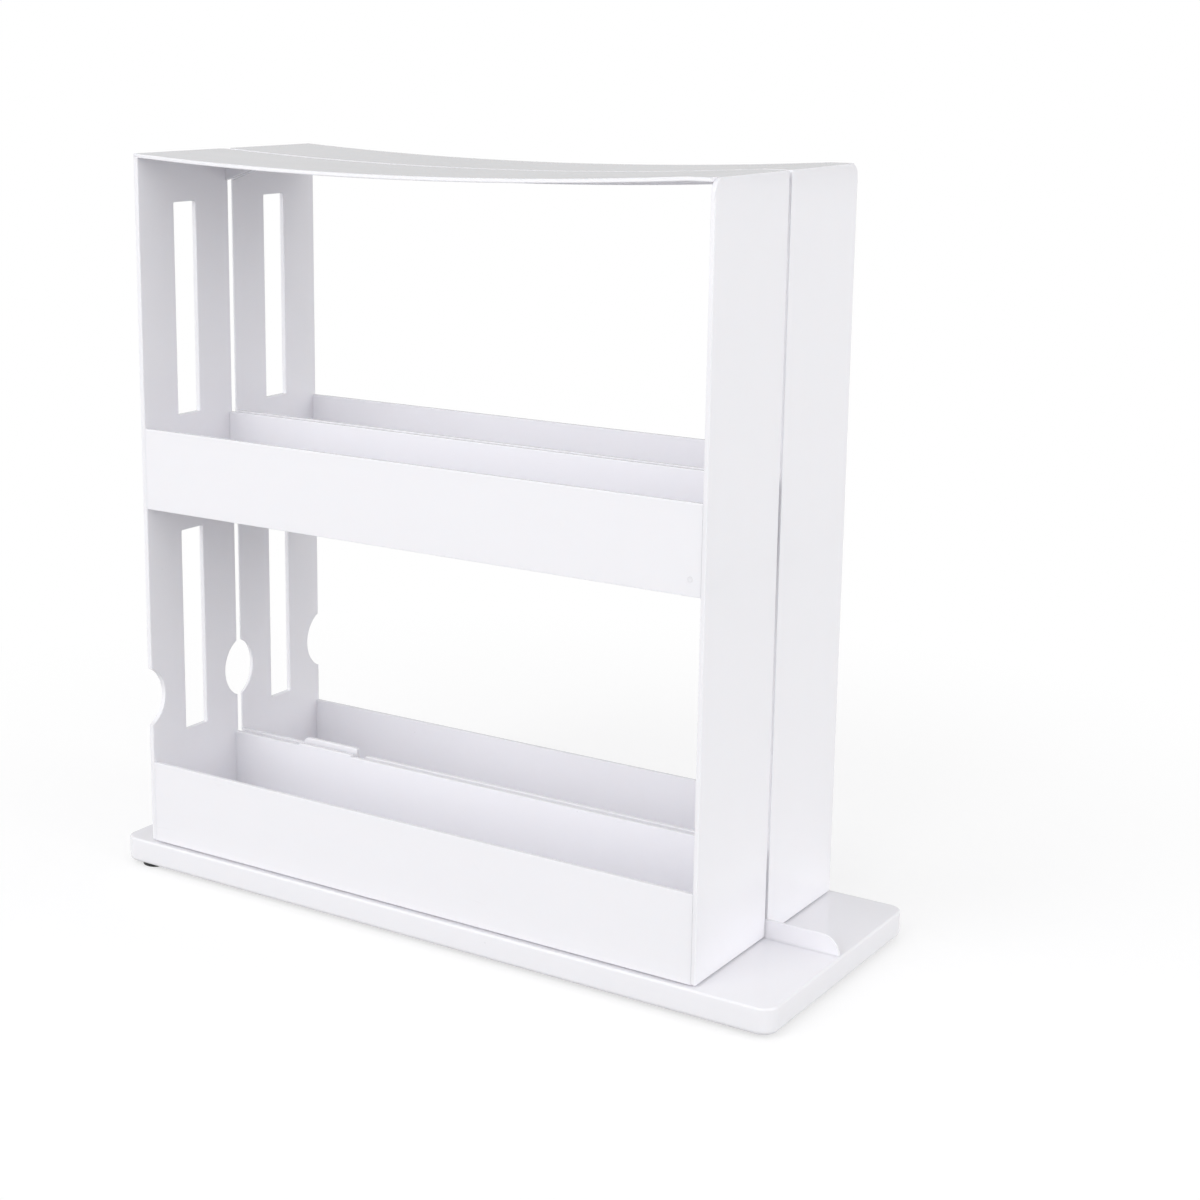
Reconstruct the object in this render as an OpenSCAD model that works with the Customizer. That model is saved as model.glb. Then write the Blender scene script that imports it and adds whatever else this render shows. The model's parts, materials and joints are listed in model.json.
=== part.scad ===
// Two-tier pull-out spice rack: two narrow shelf modules that slide forward
// over a flat base and swivel outward about a pin near their rear end.
// Millimetres. +X is the front, the ends that the hand pulls. +Y is the right
// module, -Y the left one, and +Z is up. The origin is under the centre of
// the base, on the surface that the feet stand on.

/* [Shelf modules] */
// Length of one module, from the rear face to the front face
module_len = 236; // [180:1:300]
// Width of one module
module_w = 49.5; // [42:0.5:70]
// Height of one module
module_h = 260; // [220:1:320]
// Gap between the two modules
side_gap = 2; // [1.8:0.1:4]

/* [Trays] */
// Thickness of the tray floors
floor_t = 1.8; // [1.6:0.1:3]
// Thickness of the lips along both sides of a tray
lip_t = 1.8; // [1.4:0.1:2.6]
// Height of the lower tray's lips above the module's underside
lower_lip_h = 31.2; // [24:0.1:40]
// Height of the upper tray's underside above the module's underside
upper_z = 129.7; // [110:0.1:150]
// Height of the upper tray's lips above its own underside
upper_lip_h = 30.1; // [24:0.1:40]
// Height of the raised lug on the right lower tray's inner lip
right_lug_h = 2.3; // [1:0.1:4]
// Height of the low lug at the same place on the left lower tray
left_lug_h = 0.8; // [0.4:0.1:2]
// Length of both lugs
lug_len = 26; // [10:1:40]
// Distance of the lugs from the module's rear face
lug_x = 33.5; // [25:0.5:60]
// Width of the notch in front of the right lug
lug_notch_w = 4; // [1.5:0.1:6]
// Depth of the notch below the lip's top
lug_notch_h = 3; // [1:0.1:6]
// Diameter of the round moulding mark on the upper tray's outer lip
mark_d = 1.6; // [1:0.1:3]
// Depth of the moulding mark
mark_depth = 0.2; // [0.1:0.05:0.4]
// Distance of the mark from the front face and from the tray's underside
mark_inset = 5.5; // [4:0.1:12]

/* [Front panel] */
// Thickness of the front panel
front_t = 1.6; // [1.4:0.1:3]
// Radius of the front panel's outer top corner
front_corner_r = 4.5; // [2:0.1:8]

/* [Rear panel] */
// Thickness of the rear panel
rear_t = 2; // [1.6:0.1:3]
// Radius of the rear edge that swings past the other module
rear_edge_r = 3; // [3:0.1:3.6]
// Width of the upright slots
slot_w = 12; // [8:0.5:16]
// Bottom of the lower slot above the lower tray's lips
lower_slot_foot = 8.4; // [2:0.1:12]
// Top of the lower slot below the upper tray
lower_slot_head = 11.6; // [4:0.1:20]
// Bottom of the upper slot above the upper tray's lips
upper_slot_foot = 2.7; // [1:0.1:6]
// Top of the upper slot below the top of the module
upper_slot_head = 18.5; // [14:0.1:24]
// Radius of the finger notches in the panel's edges
notch_r = 12; // [8:0.5:15]
// Depth of the finger notches
notch_depth = 7.2; // [4:0.1:8]
// Height of the notches' centre above the lower tray's lips
notch_z = 25.8; // [16:0.1:50]

/* [Top panel] */
// Thickness of the top panel
top_t = 1.4; // [1.2:0.1:2.4]
// How far the top dips between its ends
top_sag = 3.7; // [1:0.1:6]
// Length of the flat stretch at the front of the top
top_flat = 10; // [9:0.5:20]
// Thickness of the stiffening flange on the inner side
flange_t = 1.6; // [1.2:0.1:2.4]
// Depth of the stiffening flange below the top surface
flange_h = 4.4; // [3:0.1:8]
// Depth of the flange's gusset at the rear panel
gusset_h = 12; // [8:0.5:16]
// Length over which the gusset fades into the flange
gusset_len = 19; // [10:1:30]

/* [Joints of the panels] */
// Depth of the foot lugs that join the panels to the tray floors
foot_lug_d = 12; // [10:0.5:14]
// Width of the foot lugs
foot_lug_w = 12; // [10:0.5:13]
// Thickness of the foot lugs
foot_lug_t = 2.2; // [1.6:0.1:3]
// Height of the screw bosses on the foot lugs
lug_boss_h = 6; // [4:0.1:8]
// Diameter of the screw bosses on the foot lugs
lug_boss_d = 7; // [6:0.1:9]
// Inset of the foot lugs' centres from the inner face of the lips
lug_inset = 8; // [7.5:0.5:10]
// Depth of the ledges that hold the top panel
ledge_d = 6; // [5.5:0.1:8]
// Width of those ledges, from the inner side of the module
ledge_w = 25; // [16:0.5:32]
// Thickness of those ledges
ledge_t = 1.5; // [1.2:0.1:2.5]
// Width of the snap tongues under the top panel
tongue_w = 10; // [5:0.5:12]
// Distance of the snap tongues from the ledge's inner end
tongue_inset = 2; // [1.5:0.1:3]
// Thickness of the snap tongues
tongue_t = 1.5; // [1.2:0.1:2]
// Height of the barb at the foot of a tongue
barb_h = 1; // [0.8:0.1:2]
// How far the barb stands out of the tongue
barb_d = 0.7; // [0.4:0.1:1]

/* [Base] */
// Deck in front of the modules
front_margin = 28.5; // [22:0.5:60]
// Deck behind the modules
rear_margin = 13; // [9:0.5:20]
// Deck beside the modules
side_margin = 2; // [1:0.1:6]
// Height of the base without its feet
base_h = 9.4; // [8.8:0.1:14]
// Radius of the base's upright corners
base_r = 5.5; // [5:0.5:14]
// Radius of the deck's top edge
deck_edge_r = 0.8; // [0.4:0.1:2.2]
// Radius of the skirt's lower edge
skirt_edge_r = 1.6; // [0.4:0.1:1.8]
// Thickness of the deck plate
deck_t = 2.4; // [2.3:0.1:3]
// Thickness of the skirt round the base
skirt_t = 2.2; // [2:0.1:3]
// Thickness of the bottom cover
cover_t = 1.8; // [1.6:0.1:2.4]
// Thickness of the ribs beside and at the ends of the tracks
rib_t = 1.6; // [1.2:0.1:2.4]
// Thickness of the fin between the modules
fin_t = 1; // [0.8:0.1:1.1]
// Height of the fin above the deck
fin_h = 6.8; // [4:0.1:12]
// Distance of the fin's tip from the base's front edge
fin_front = 1; // [0.9:0.1:8]
// Distance of the fin's tail from the base's rear edge
fin_rear = 11; // [3:0.5:14]

/* [Feet] */
// Diameter of the rubber feet
foot_d = 10; // [6:0.5:14]
// Height of the rubber feet
foot_h = 1.5; // [1:0.1:3]
// Distance of the rear feet's centres from the base's rear edge
rear_foot_x = 10.5; // [7:0.1:14]
// Inset of the rear feet's centres from the base's sides
rear_foot_inset = 6.5; // [6:0.1:16]
// Inset of the front and middle feet's centres from the base's edges
front_foot_inset = 16; // [8:0.5:24]

/* [Slide and pivot] */
// Length of a module's tail that stays over the tracks when it is pulled out
tail_stay = 36; // [36:1:120]
// Distance of the pivot's axis from the module's rear face
pivot_x = 6.4; // [6.4:0.1:6.6]
// Diameter of the pivot pin
pin_d = 5; // [4:0.1:5]
// Diameter of the pin's flange in the slide shoe
pin_flange_d = 10; // [8:0.5:12]
// Thickness of the pin's flange
pin_flange_t = 1.2; // [0.8:0.1:1.6]
// Outer diameter of the pivot bush
bush_d = 7.5; // [7:0.1:8]
// Diameter of the bush's flange and of the washer on it
bush_flange_d = 8.4; // [8.2:0.1:8.6]
// Thickness of the bush's flange
bush_flange_t = 0.8; // [0.6:0.1:1.2]
// Diameter of the boss round the bush
pivot_boss_d = 11; // [10:0.1:13]
// Height of the boss above the module's underside
pivot_boss_h = 6; // [4:0.1:8]
// Thickness of the washer on the pin
washer_t = 0.8; // [0.6:0.1:1.2]
// Diameter of the pivot screw's head
pivot_head_d = 5.6; // [5:0.1:6]
// Height of the pivot screw's head
pivot_head_h = 2; // [1.5:0.1:2.6]
// Length of the pivot screw's shank in the pin
pivot_screw_len = 6; // [4:0.5:8]
// Width of the slide shoes
shoe_w = 24; // [18:0.5:28]
// Reach of a shoe behind its pin
shoe_rear = 9; // [7:0.5:9.5]
// Reach of a shoe in front of its pin
shoe_front = 26; // [15:0.5:27]
// Length of a track bumper along the track
bumper_len = 2; // [1.5:0.1:2.4]
// Width of a track bumper
bumper_w = 16; // [8:0.5:18]
// Height of a track bumper
bumper_h = 4.2; // [3:0.1:4.4]
// Diameter of the glide pads under a module
pad_d = 12; // [8:0.5:16]
// Depth of the recess that holds a glide pad
pad_recess = 0.8; // [0.5:0.1:1]
// How far a glide pad stands out of its recess
pad_proud = 0.4; // [0.3:0.05:0.8]
// Inset of the glide pads' centres from the sides of a module
pad_inset = 12; // [9:0.5:16]
// Distance of the rear glide pads from the module's rear face
pad_rear_x = 44; // [30:1:70]
// Distance of the front glide pads from the module's front face
pad_front_x = 24; // [21:1:60]

/* [Screws] */
// Shank diameter of the small screws
screw_d = 2.9; // [2.5:0.1:3.2]
// Head diameter of the countersunk screws
head_d = 5.6; // [5:0.1:6]
// Height of the countersunk heads
head_h = 1.3; // [1:0.05:1.5]
// Length of the tray screws under the head
tray_screw_len = 5; // [4:0.5:6]
// Length of the cover screws under the head
cover_screw_len = 4; // [3:0.5:4.5]
// Diameter of the screw bosses under the deck
cover_boss_d = 6.4; // [5.5:0.1:7]
// Inset of the side cover screws from the base's sides
cover_screw_inset = 7.4; // [7:0.1:9]
// Distance of the side cover screws from the base's ends
cover_screw_x = 22.5; // [22.2:0.1:30]

/* [Clearances] */
// Between the glide pads and the deck
glide_clear = 0.2; // [0.1:0.05:0.4]
// Between a shoe and its track, above and below
shoe_clear_z = 0.2; // [0.1:0.05:0.4]
// Between a shoe and its track, at the sides
shoe_clear_y = 0.3; // [0.2:0.05:0.5]
// Between a shoe at its limit and the bumper
stop_clear = 0.3; // [0.1:0.05:0.5]
// Between the pin and the slot in the deck
slot_clear = 0.4; // [0.3:0.05:0.6]
// Between the bush's flange and the washer
washer_clear = 0.15; // [0.1:0.05:0.3]
// Radial clearance of the pin in its bush
running_clear = 0.03; // [0.02:0.01:0.08]
// Radial clearance of fixed pins, bushes and screws in their holes
seat_clear = 0.02; // [0.01:0.01:0.05]
// Between parts that are slid together by hand
fit_clear = 0.2; // [0.1:0.05:0.4]

/* [Hidden] */
$fn = 64;
eps = 0.01;
over = 1; // how far a cutter reaches past the faces that it cuts
edge_bite = 0.02; // the round rear edge meets the flat faces at a slight angle, not as a tangent
arc_lead = 1; // the top's dip starts this far behind the module's rear face
tip_room = 0.5; // room past the tip of a screw
boss_end = 0.5; // from a foot lug's screw boss to the end of the lug
recess_w = 0.8; // cross recess in the pivot screw's head
recess_depth = 0.9;
recess_span = 3.4;
fine = 720; // steps on the very flat arcs of the top panel

half_gap = side_gap / 2;
base_len = rear_margin + module_len + front_margin;
base_w = side_gap + 2 * (module_w + side_margin);
x_back = -base_len / 2;
x_rear = x_back + rear_margin;
x_front = x_rear + module_len;
x_inside = x_front - front_t; // inner face of the front panel
x_tray = x_rear + rear_t; // inner face of the rear panel
y_mid = half_gap + module_w / 2;
y_out = half_gap + module_w;

z_base = foot_h;
z_deck = z_base + base_h;
z_mod = z_deck + glide_clear + pad_proud;
z_top = z_mod + module_h;
z_upper = z_mod + upper_z;
z_upper_lip = z_upper + upper_lip_h;
z_lower_lip = z_mod + lower_lip_h;

arc_half = (module_len - top_flat + arc_lead) / 2; // half the chord of the dip
arc_x = x_front - top_flat - arc_half;
arc_r = (arc_half * arc_half + top_sag * top_sag) / (2 * top_sag);
rear_drop = dip(x_tray);
ledge_drop = dip(x_tray + ledge_d);

travel = module_len - tail_stay; // how far a module slides to the front
pivot_px = x_rear + pivot_x;
z_shoe = z_base + cover_t + shoe_clear_z;
shoe_h = base_h - deck_t - cover_t - 2 * shoe_clear_z;
bush_top = z_mod + pivot_boss_h + bush_flange_t;
pin_top = bush_top + washer_clear;
track_hw = shoe_w / 2 + shoe_clear_y; // half the track's width
track_x0 = pivot_px - shoe_rear - stop_clear - bumper_len;
track_x1 = pivot_px + travel + shoe_front + stop_clear + bumper_len;
lug_y0 = half_gap + lip_t + lug_inset;
lug_y1 = y_out - lip_t - lug_inset;
screw_in = foot_lug_d - lug_boss_d / 2 - boss_end; // screw axis from the panel's inner face
ledge_y = half_gap + flange_t + fit_clear;
tongue_y = ledge_y + tongue_inset + tongue_w / 2;
tongue_in = ledge_d / 2; // tongue's centre from the panel's inner face
tongue_drop = ledge_t + barb_h + fit_clear;
z_rear_ledge = z_top - top_t - ledge_drop - fit_clear / 2;
z_front_ledge = z_top - top_t;

plastic = [0.95, 0.95, 0.96];
acetal = [0.88, 0.87, 0.83];
rubber = [0.13, 0.13, 0.14];
steel = [0.72, 0.73, 0.75];

// Helpers

// How far the top surface lies below the module's highest edge at a place along its length.
function dip(x) = top_sag - arc_r + sqrt(pow(arc_r, 2) - pow(x - arc_x, 2));

// A box given by two opposite corners.
module block(low, high) {
    translate(low) cube(high - low);
}

// Everything drawn for the right side, shown on one side of the rack.
module on_side(name) {
    if (name == "left") mirror([0, 1, 0]) children();
    else children();
}

// The same on both sides.
module both_sides() {
    on_side("left") children();
    on_side("right") children();
}

// A rectangle with round corners, centred on the origin.
module round_rect(l, w, r) {
    square([l - 2 * r, w], center = true);
    square([l, w - 2 * r], center = true);
    for (sx = [-1, 1], sy = [-1, 1])
        translate([sx * (l / 2 - r), sy * (w / 2 - r)]) circle(r);
}

// Half the section of a slab, with its top and lower edges rounded at the outside.
module edge_profile(depth, h, top_r, low_r) {
    square([depth - low_r, h - top_r]);
    translate([0, low_r]) square([depth, h - top_r - low_r]);
    square([depth - top_r, h]);
    translate([depth - top_r, h - top_r]) circle(top_r);
    translate([depth - low_r, low_r]) circle(low_r);
}

// A slab with round upright corners and rounded edges above and below, centred in plan.
module soft_slab(l, w, h, corner_r, top_r, low_r) {
    block([-l / 2 + corner_r, -w / 2 + corner_r, 0], [l / 2 - corner_r, w / 2 - corner_r, h]);
    for (side = [-1, 1]) {
        translate([0, side * (w / 2 - corner_r), 0]) rotate([90, 0, side > 0 ? 90 : -90])
            linear_extrude(l - 2 * corner_r, center = true) edge_profile(corner_r, h, top_r, low_r);
        translate([side * (l / 2 - corner_r), 0, 0]) rotate([90, 0, side > 0 ? 0 : 180])
            linear_extrude(w - 2 * corner_r, center = true) edge_profile(corner_r, h, top_r, low_r);
    }
    for (quarter = [0:3])
        translate([
            (quarter == 0 || quarter == 3 ? 1 : -1) * (l / 2 - corner_r),
            (quarter < 2 ? 1 : -1) * (w / 2 - corner_r), 0
        ])
            rotate([0, 0, 90 * quarter]) rotate_extrude(angle = 90) edge_profile(corner_r, h, top_r, low_r);
}

// A countersunk screw whose head's flat face is at z = 0, pointing up.
module flat_screw(len) {
    cylinder(h = head_h, d1 = head_d, d2 = screw_d);
    translate([0, 0, head_h - eps]) cylinder(h = len + eps, d = screw_d);
}

// The room for that screw: a countersunk clearance hole up through a plate.
module flat_screw_hole(plate_t) {
    translate([0, 0, -eps]) cylinder(h = head_h + eps, d1 = head_d + 2 * seat_clear, d2 = screw_d + 2 * seat_clear);
    translate([0, 0, head_h - 2 * eps]) cylinder(h = plate_t - head_h + 4 * eps, d = screw_d + 2 * seat_clear);
}

// Cuts the upright rear edge round where the module swings past its neighbour.
module rear_edge_cut() {
    c = rear_edge_r - edge_bite;
    translate([x_rear, half_gap, z_mod - over]) linear_extrude(module_h + 2 * over) difference() {
        translate([-over, -over]) square(c + over);
        translate([c, c]) circle(rear_edge_r);
    }
}

// Plan places of the tray screws, in the right module.
module at_tray_screws() {
    for (x = [x_tray + screw_in, x_inside - screw_in], y = [lug_y0, lug_y1])
        translate([x, y, 0]) children();
}

// Plan places of the glide pads, in the right module.
module at_pads() {
    for (x = [x_rear + pad_rear_x, x_front - pad_front_x], y = [half_gap + pad_inset, y_out - pad_inset])
        translate([x, y, 0]) children();
}

// Plan places of the cover screws: a row down the middle and one along each side.
module at_cover_screws() {
    for (x = [x_back + cover_screw_x, 0, -x_back - cover_screw_x])
        for (y = [-1, 1]) translate([x, y * (base_w / 2 - cover_screw_inset), 0]) children();
    for (sx = [-1, 1]) translate([sx * base_len / 4, 0, 0]) children();
}

// Base

// One shoe track under the deck, for the right side: side ribs and end ribs.
module track_ribs() {
    low = z_base + cover_t;
    high = z_deck - deck_t + eps;
    for (side = [-1, 1])
        translate([0, y_mid + side * (track_hw + rib_t / 2), 0])
            block([track_x0 - rib_t, -rib_t / 2, low], [track_x1 + rib_t, rib_t / 2, high]);
    for (x = [track_x0 - rib_t, track_x1])
        block([x, y_mid - track_hw, low], [x + rib_t, y_mid + track_hw, high]);
}

// The slot in the deck plate that the pivot pin travels in, for the right side.
module pin_slot() {
    w = pin_d + 2 * slot_clear;
    h = deck_t + 2 * over;
    translate([0, 0, z_deck - deck_t - over]) {
        translate([pivot_px, y_mid - w / 2, 0]) cube([travel, w, h]);
        for (x = [pivot_px, pivot_px + travel]) translate([x, y_mid, 0]) cylinder(h = h, d = w);
    }
}

// The fin that keeps the modules apart, with its quarter-round front end.
module fin() {
    tip = -x_back - fin_front;
    translate([0, fin_t / 2, z_deck - eps]) rotate([90, 0, 0]) linear_extrude(fin_t) {
        translate([x_back + fin_rear, 0]) square([tip - fin_h - x_back - fin_rear, fin_h + eps]);
        intersection() {
            translate([tip - fin_h, eps]) circle(fin_h);
            translate([tip - fin_h - eps, 0]) square(fin_h + 2 * eps);
        }
    }
}

module base_deck() {
    inner_l = base_len - 2 * skirt_t;
    inner_w = base_w - 2 * skirt_t;
    color(plastic) {
        difference() {
            translate([0, 0, z_base]) soft_slab(base_len, base_w, base_h, base_r, deck_edge_r, skirt_edge_r);
            translate([0, 0, z_base - over]) linear_extrude(base_h - deck_t + over)
                round_rect(inner_l, inner_w, base_r - skirt_t);
            both_sides() pin_slot();
        }
        both_sides() track_ribs();
        fin();
        difference() {
            at_cover_screws() translate([0, 0, z_base + cover_t])
                cylinder(h = base_h - cover_t - deck_t + eps, d = cover_boss_d);
            at_cover_screws() translate([0, 0, z_base + cover_t - over])
                cylinder(h = head_h + cover_screw_len - cover_t + over + tip_room, d = screw_d + 2 * seat_clear);
        }
    }
}

module base_cover() {
    edge = skirt_t + fit_clear;
    color(plastic) difference() {
        translate([0, 0, z_base]) linear_extrude(cover_t)
            round_rect(base_len - 2 * edge, base_w - 2 * edge, base_r - edge);
        at_cover_screws() translate([0, 0, z_base]) flat_screw_hole(cover_t);
    }
}

module cover_screws() {
    color(steel) at_cover_screws() translate([0, 0, z_base]) flat_screw(cover_screw_len);
}

module rubber_feet() {
    rear = [x_back + rear_foot_x, base_w / 2 - rear_foot_inset];
    middle = [0, base_w / 2 - front_foot_inset];
    front = [-x_back - front_foot_inset, base_w / 2 - front_foot_inset];
    color(rubber) both_sides() for (at = [rear, middle, front])
        translate(at) cylinder(h = foot_h, d = foot_d);
}

module track_bumpers() {
    z = z_base + cover_t + (base_h - deck_t - cover_t - bumper_h) / 2;
    color(rubber) both_sides() for (x = [track_x0, track_x1 - bumper_len])
        block([x, y_mid - bumper_w / 2, z], [x + bumper_len, y_mid + bumper_w / 2, z + bumper_h]);
}

// Carriage: shoe, pin, washer and screw, all for the right side

module slide_shoe() {
    color(acetal) difference() {
        block([pivot_px - shoe_rear, y_mid - shoe_w / 2, z_shoe],
            [pivot_px + shoe_front, y_mid + shoe_w / 2, z_shoe + shoe_h]);
        translate([pivot_px, y_mid, z_shoe - over]) {
            cylinder(h = shoe_h + 2 * over, d = pin_d + 2 * seat_clear);
            cylinder(h = pin_flange_t + over, d = pin_flange_d + 2 * seat_clear);
        }
    }
}

module pivot_pin() {
    color(steel) translate([pivot_px, y_mid, 0]) difference() {
        union() {
            translate([0, 0, z_shoe]) cylinder(h = pin_flange_t, d = pin_flange_d);
            translate([0, 0, z_shoe + eps]) cylinder(h = pin_top - z_shoe - eps, d = pin_d);
        }
        translate([0, 0, pin_top - pivot_screw_len - tip_room])
            cylinder(h = pivot_screw_len + tip_room + over, d = screw_d + 2 * seat_clear);
    }
}

module pivot_washer() {
    color(steel) translate([pivot_px, y_mid, pin_top]) difference() {
        cylinder(h = washer_t, d = bush_flange_d);
        translate([0, 0, -over]) cylinder(h = washer_t + 2 * over, d = screw_d + 2 * seat_clear);
    }
}

module pivot_screw() {
    color(steel) translate([pivot_px, y_mid, pin_top + washer_t]) difference() {
        union() {
            cylinder(h = pivot_head_h, d = pivot_head_d);
            translate([0, 0, -pivot_screw_len - washer_t]) cylinder(h = pivot_screw_len + washer_t + eps, d = screw_d);
        }
        for (turn = [0, 90]) rotate([0, 0, turn])
            translate([0, 0, pivot_head_h]) cube([recess_span, recess_w, 2 * recess_depth], center = true);
    }
}

// Shelf module, all for the right side

module pivot_bush() {
    color(acetal) translate([pivot_px, y_mid, z_mod]) difference() {
        union() {
            cylinder(h = pivot_boss_h + eps, d = bush_d);
            translate([0, 0, pivot_boss_h]) cylinder(h = bush_flange_t, d = bush_flange_d);
        }
        translate([0, 0, -over]) cylinder(h = pivot_boss_h + bush_flange_t + 2 * over, d = pin_d + 2 * running_clear);
    }
}

// A tray between the end panels: a floor and two lips.
module tray(z, lip_h) {
    block([x_tray, half_gap, z], [x_inside, y_out, z + floor_t]);
    for (y = [half_gap, y_out - lip_t])
        block([x_tray, y, z + floor_t - eps], [x_inside, y + lip_t, z + lip_h]);
}

// The raised lug on the inner lip, with a round rear corner.
module lip_lug(h) {
    translate([x_rear + lug_x, half_gap + lip_t, z_lower_lip]) rotate([90, 0, 0]) linear_extrude(lip_t) {
        translate([h, -eps]) square([lug_len - h, h + eps]);
        intersection() {
            translate([h, 0]) circle(h);
            translate([0, -eps]) square([h + eps, h + 2 * eps]);
        }
    }
}

// A lower tray. Only the right one has the notch in front of its lug.
module lower_tray(lug_h, notched) {
    notch_x = x_rear + lug_x + lug_len;
    color(plastic) difference() {
        union() {
            tray(z_mod, lower_lip_h);
            lip_lug(lug_h);
            intersection() {
                translate([pivot_px, y_mid, z_mod]) cylinder(h = pivot_boss_h, d = pivot_boss_d);
                block([x_tray, half_gap, z_mod], [x_front, y_out, z_mod + pivot_boss_h]);
            }
        }
        rear_edge_cut();
        translate([pivot_px, y_mid, z_mod - over]) cylinder(h = pivot_boss_h + 2 * over, d = bush_d + 2 * seat_clear);
        at_tray_screws() translate([0, 0, z_mod]) flat_screw_hole(floor_t);
        at_pads() translate([0, 0, z_mod - over]) cylinder(h = pad_recess + over, d = pad_d + 2 * fit_clear);
        if (notched) block([notch_x, half_gap - over, z_lower_lip - lug_notch_h],
            [notch_x + lug_notch_w, half_gap + lip_t + over, z_lower_lip + over]);
    }
}

module upper_tray() {
    color(plastic) difference() {
        tray(z_upper, upper_lip_h);
        rear_edge_cut();
        at_tray_screws() translate([0, 0, z_upper]) flat_screw_hole(floor_t);
        translate([x_front - mark_inset, y_out - mark_depth, z_upper + mark_inset]) rotate([-90, 0, 0])
            cylinder(h = mark_depth + over, d = mark_d);
    }
}

// The lugs that a panel rests on a tray floor with, and their screw bosses.
// way is 1 on the rear panel and -1 on the front panel.
module foot_lugs(x, way, z) {
    for (y = [lug_y0, lug_y1]) difference() {
        union() {
            translate([way > 0 ? x - eps : x - foot_lug_d, y - foot_lug_w / 2, z + floor_t])
                cube([foot_lug_d + eps, foot_lug_w, foot_lug_t]);
            translate([x + way * screw_in, y, z + floor_t]) cylinder(h = lug_boss_h, d = lug_boss_d);
        }
        translate([x + way * screw_in, y, z + floor_t - over])
            cylinder(h = head_h + tray_screw_len - floor_t + over + tip_room, d = screw_d + 2 * seat_clear);
    }
}

// The ledge under the top panel, with the window for its snap tongue.
module top_ledge(x, way, z) {
    window = [tongue_t + 2 * fit_clear, tongue_w + 2 * fit_clear, ledge_t + over];
    difference() {
        translate([way > 0 ? x - eps : x - ledge_d, ledge_y, z - ledge_t]) cube([ledge_d + eps, ledge_w, ledge_t]);
        translate([x + way * tongue_in, tongue_y, z - ledge_t / 2]) cube(window, center = true);
    }
}

// Both tall slots of the rear panel, seen in plan y and height.
module rear_slots() {
    slots = [
        [z_lower_lip + lower_slot_foot, z_upper - lower_slot_head],
        [z_upper_lip + upper_slot_foot, z_top - upper_slot_head]
    ];
    for (s = slots) block([x_rear - over, y_mid - slot_w / 2, s[0]], [x_tray + over, y_mid + slot_w / 2, s[1]]);
}

module edge_notches() {
    out = notch_r - notch_depth;
    for (y = [half_gap - out, y_out + out])
        translate([x_rear - over, y, z_lower_lip + notch_z]) rotate([0, 90, 0])
            cylinder(h = rear_t + 2 * over, r = notch_r);
}

module rear_panel() {
    color(plastic) {
        difference() {
            block([x_rear, half_gap, z_mod], [x_tray, y_out, z_top - top_t - rear_drop - seat_clear]);
            rear_edge_cut();
            rear_slots();
            edge_notches();
        }
        foot_lugs(x_tray, 1, z_mod);
        foot_lugs(x_tray, 1, z_upper);
        top_ledge(x_tray, 1, z_rear_ledge);
    }
}

module front_panel() {
    r = front_corner_r;
    color(plastic) {
        translate([x_inside, 0, 0]) rotate([90, 0, 90]) linear_extrude(front_t) {
            translate([half_gap, z_mod]) square([module_w - r, module_h]);
            translate([y_out - r - eps, z_mod]) square([r + eps, module_h - r]);
            translate([y_out - r, z_top - r]) circle(r);
        }
        foot_lugs(x_inside, -1, z_mod);
        foot_lugs(x_inside, -1, z_upper);
        top_ledge(x_inside, -1, z_front_ledge);
    }
}

// The section of the top panel, drawn in x and z: a dipped stretch, then a flat one.
// Its underside is the same curve as its top, lower by depth.
module dip_section(depth) {
    low = z_top - top_sag - depth;
    difference() {
        intersection() {
            translate([x_rear, low - over]) square([x_inside - x_rear, z_top - low + over]);
            union() {
                translate([arc_x, z_top - top_sag - depth + arc_r]) circle(arc_r, $fn = fine);
                translate([x_rear, z_top - depth]) square([module_len, depth + over]);
            }
        }
        translate([arc_x, z_top - top_sag + arc_r]) circle(arc_r, $fn = fine);
    }
}

// A snap tongue that hangs down through a ledge whose top is at z, with its barb under the ledge.
module snap_tongue(x, way, z, top) {
    w = tongue_w;
    foot = z - tongue_drop;
    translate([x - tongue_t / 2, tongue_y - w / 2, foot]) cube([tongue_t, w, top - foot]);
    translate([x + way * tongue_t / 2, tongue_y + w / 2, foot]) rotate([90, 0, 0]) linear_extrude(w)
        polygon([[-way * tongue_t / 2, 0], [0, 0], [way * barb_d, barb_h], [-way * tongue_t / 2, barb_h]]);
}

// The flange along the inner side, with its gusset at the rear panel.
module top_flange() {
    x_end = x_tray + gusset_len;
    translate([0, half_gap + flange_t, 0]) rotate([90, 0, 0]) linear_extrude(flange_t) {
        intersection() {
            dip_section(flange_h);
            translate([x_tray, z_top - gusset_h]) square([module_len, gusset_h + over]);
        }
        polygon([
            [x_tray, z_top - rear_drop - top_t / 2], [x_tray, z_top - gusset_h],
            [x_end, z_top - flange_h - dip(x_end) + top_t / 4], [x_end, z_top - dip(x_end) - top_t / 2]
        ]);
    }
}

module top_panel() {
    color(plastic) difference() {
        union() {
            translate([0, y_out, 0]) rotate([90, 0, 0]) linear_extrude(module_w) dip_section(top_t);
            top_flange();
            snap_tongue(x_tray + tongue_in, 1, z_rear_ledge, z_top - top_t / 2 - ledge_drop);
            snap_tongue(x_inside - tongue_in, -1, z_front_ledge, z_top - top_t / 2);
        }
        rear_edge_cut();
    }
}

module tray_screws() {
    color(steel) for (z = [z_mod, z_upper])
        at_tray_screws() translate([0, 0, z]) flat_screw(tray_screw_len);
}

module glide_pads() {
    color(acetal) at_pads() translate([0, 0, z_mod - pad_proud]) cylinder(h = pad_proud + pad_recess, d = pad_d);
}

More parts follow.
